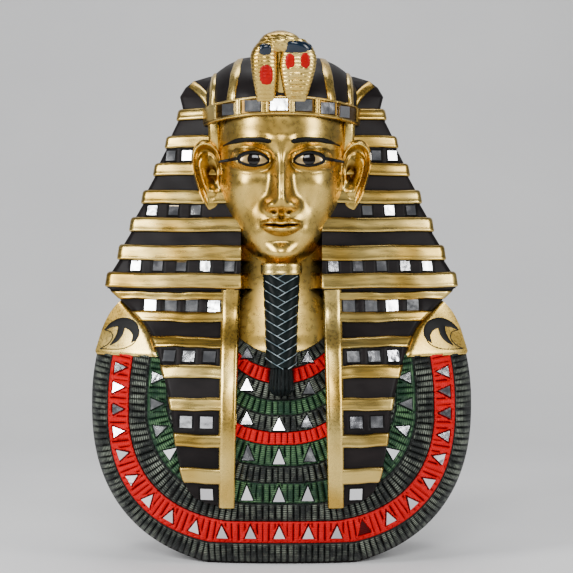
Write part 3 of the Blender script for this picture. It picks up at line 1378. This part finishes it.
def ornament():
    solid("vulture", form(VULTURE, 110, 0.12, 0.35), GOLD)
    solid("cobra", form(COBRA, 120, 0.10, 0.45), GOLD)
    solid("crown", form(CROWN, 60, 0.25, 0.5, 6.5), GOLD)
    solid("ornament_back", form(CREST_BACK, 60), GOLD)
    patch("vulture_red", VULTURE, -12.8, 429.5, 11.5, 17, PATCH_RED, 0.9, 0.8)
    patch("vulture_drop", VULTURE, -13.6, 450.5, 11.0, 10.0, PATCH_BLUE, 1.0)
    patch("cobra_red_1", COBRA, 7.6, 441.0, 8.6, 13.5, PATCH_RED, 0.9)
    patch("cobra_red_2", COBRA, 20.5, 441.5, 8.6, 13.0, PATCH_RED, 0.9)
    patch("cobra_bar", COBRA, 12.2, 452.8, 28.5, 10.0, PATCH_BLUE, 0.8)
    for number, z in enumerate((434.5, 429, 423.5, 418, 413), 1):
        patch(f"cobra_scale_{number}", COBRA, 13.4, z, 13.5, 4.4, GOLD, 1.0)


def queue():
    """Gathered tail at the back: rolls with a gold band round the top of each."""
    for i in range(QUEUE_RINGS):
        z = QUEUE_FOOT + QUEUE_PITCH * i
        half = 16 + 2.6 * i
        middle = -back_depth(z) - 2 - 0.4 * i
        loops = []
        for v in np.linspace(0, 1, 20):
            swell = 1.2 * round_over(v)
            level = z + 0.85 * QUEUE_PITCH * v
            loops.append(oval_ring(0, middle, level, half + 0.8 * v + swell, 11 + swell, 90, 0.35))
        solid(f"queue_roll_{i + 1}", loops, CHARCOAL)
        loops = []
        for v in np.linspace(0, 1, 8):
            level = z + QUEUE_PITCH * (0.84 + 0.17 * v)
            loops.append(oval_ring(0, middle, level, half + 1.6 + round_over(v), 12.4, 60))
        solid(f"queue_band_{i + 1}", loops, GOLD)


def curve(points, count=48):
    """A smooth path through a few points."""
    points = np.asarray(points, float)
    keys = np.arange(len(points))
    at = np.linspace(0, len(points) - 1, count)
    return np.stack([blend(at, keys, points[:, i]) for i in range(points.shape[1])], axis=-1)


def shoulder_marks():
    """A plain curved comb figure in black within a thin leaf-shaped line on each shoulder terminal."""
    def on_cap(x, z):
        return chest(x, z) + CAP_RISE + 0.35 * waver(x, z, 9, 3)
    thin = 0.9
    strokes = {
        "swoosh": ((161, 206, 1.0), (153, 211.5, 5.2), (143, 213.5, 8.6), (134, 210.5, 9.6),
                   (130.8, 203, 6.5), (134.5, 196, 1.0)),
        "tooth": ((144.5, 212, 7.0), (145.5, 204.5, 6.2), (149, 198.5, 4.4), (155, 193, 0.9)),
        "leaf": ((127.5, 207, thin), (132, 196, thin), (142, 190.8, thin), (153, 189.6, thin),
                 (164.5, 189.6, thin)),
        "stem": ((160, 206, thin), (154.5, 204.5, thin), (153, 199.5, thin), (157.5, 193.5, thin),
                 (164.5, 189.6, thin)),
    }
    for side, sign in SIDES:
        for name, points in strokes.items():
            path = curve(points)
            painted_line(f"shoulder_{name}_{side}", path[:, :2] * (sign, 1), path[:, 2], 0.3, on_cap)


def packed_tiles():
    """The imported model's own tiles take the finished glass and eased edges."""
    for name, node in frame["nodes"].items():
        if name == "bust":
            continue
        node.material_slots[0].material = MIRROR
        eased = node.modifiers.new("eased edges", "BEVEL")
        eased.width = 0.0003
        eased.segments = 2


def aimed(name, data, place, aim):
    """A lamp or camera put at a place and turned towards another."""
    thing = bpy.data.objects.new(name, data)
    bpy.context.scene.collection.objects.link(thing)
    thing.location = place
    thing.rotation_mode = "QUATERNION"
    thing.rotation_quaternion = (Vector(aim) - Vector(place)).to_track_quat("-Z", "Y")
    return thing


def area_light(name, place, aim_height, wide, tall, power):
    data = bpy.data.lights.new(name, "AREA")
    data.shape = "RECTANGLE"
    data.size = wide
    data.size_y = tall
    data.energy = power
    aimed(name, data, place, (0, 0, aim_height))


FLOOR_END = 0.7
WALL_BEND = 0.9
CAMERA_AT = (0.0045, -1.445, 0.30)
CAMERA_AIM = (0.0045, 0.0, 0.2445)
LENS = 98


def stage():
    """Pale floor running up into a pale wall, soft lights, and the camera."""
    ink = Ink("stage")
    tone = ink.ramp(ink.noise(3, detail=3), (0.3, (0.74, 0.74, 0.75)), (0.7, (0.80, 0.80, 0.80)))
    steps = 22
    turn = np.arange(1, steps + 1) / steps * np.pi / 2
    profile = [(-3.0, 0.0), (FLOOR_END, 0.0)]
    profile += list(zip(FLOOR_END + WALL_BEND * np.sin(turn), WALL_BEND - WALL_BEND * np.cos(turn)))
    profile += [(FLOOR_END + WALL_BEND, 4.0)]
    points = [(x, y, z) for y, z in profile for x in (-3.5, 3.5)]
    faces = [(2 * i, 2 * i + 1, 2 * i + 3, 2 * i + 2) for i in range(len(profile) - 1)]
    mesh = bpy.data.meshes.new("backdrop")
    mesh.from_pydata(points, [], faces)
    mesh.shade_smooth()
    backdrop = bpy.data.objects.new("backdrop", mesh)
    mesh.materials.append(ink.finish({"Base Color": tone, "Roughness": 0.7}))
    bpy.context.scene.collection.objects.link(backdrop)
    area_light("key", (-1.30, -0.80, 0.80), 0.28, 0.40, 0.9, 25)
    area_light("fill", (1.30, -0.75, 0.70), 0.28, 0.40, 0.9, 16)
    area_light("front", (-0.10, -2.1, 1.25), 0.25, 1.1, 0.6, 36)
    area_light("top", (0.0, 0.30, 1.4), 0.3, 1.0, 0.5, 8)
    sky = bpy.data.worlds.new("studio")
    bpy.context.scene.world = sky
    sky.use_nodes = True
    sky.node_tree.nodes["Background"].inputs["Color"].default_value = (0.75, 0.77, 0.80, 1)
    sky.node_tree.nodes["Background"].inputs["Strength"].default_value = 0.16
    data = bpy.data.cameras.new("camera")
    data.lens = LENS
    data.sensor_width = 36
    bpy.context.scene.camera = aimed("camera", data, CAMERA_AT, CAMERA_AIM)


packed_spots, added_spots, lost_spot = collar_spots()
body()
collar(packed_spots + added_spots + [lost_spot])
added_tiles(added_spots)
shoulder_marks()
neck()
head()
eyes()
face_lines()
ears()
dome()
brow_band()
dome_stripes()
wings()
wing_bands()
lappets()
beard()
ornament()
queue()
packed_tiles()
stage()
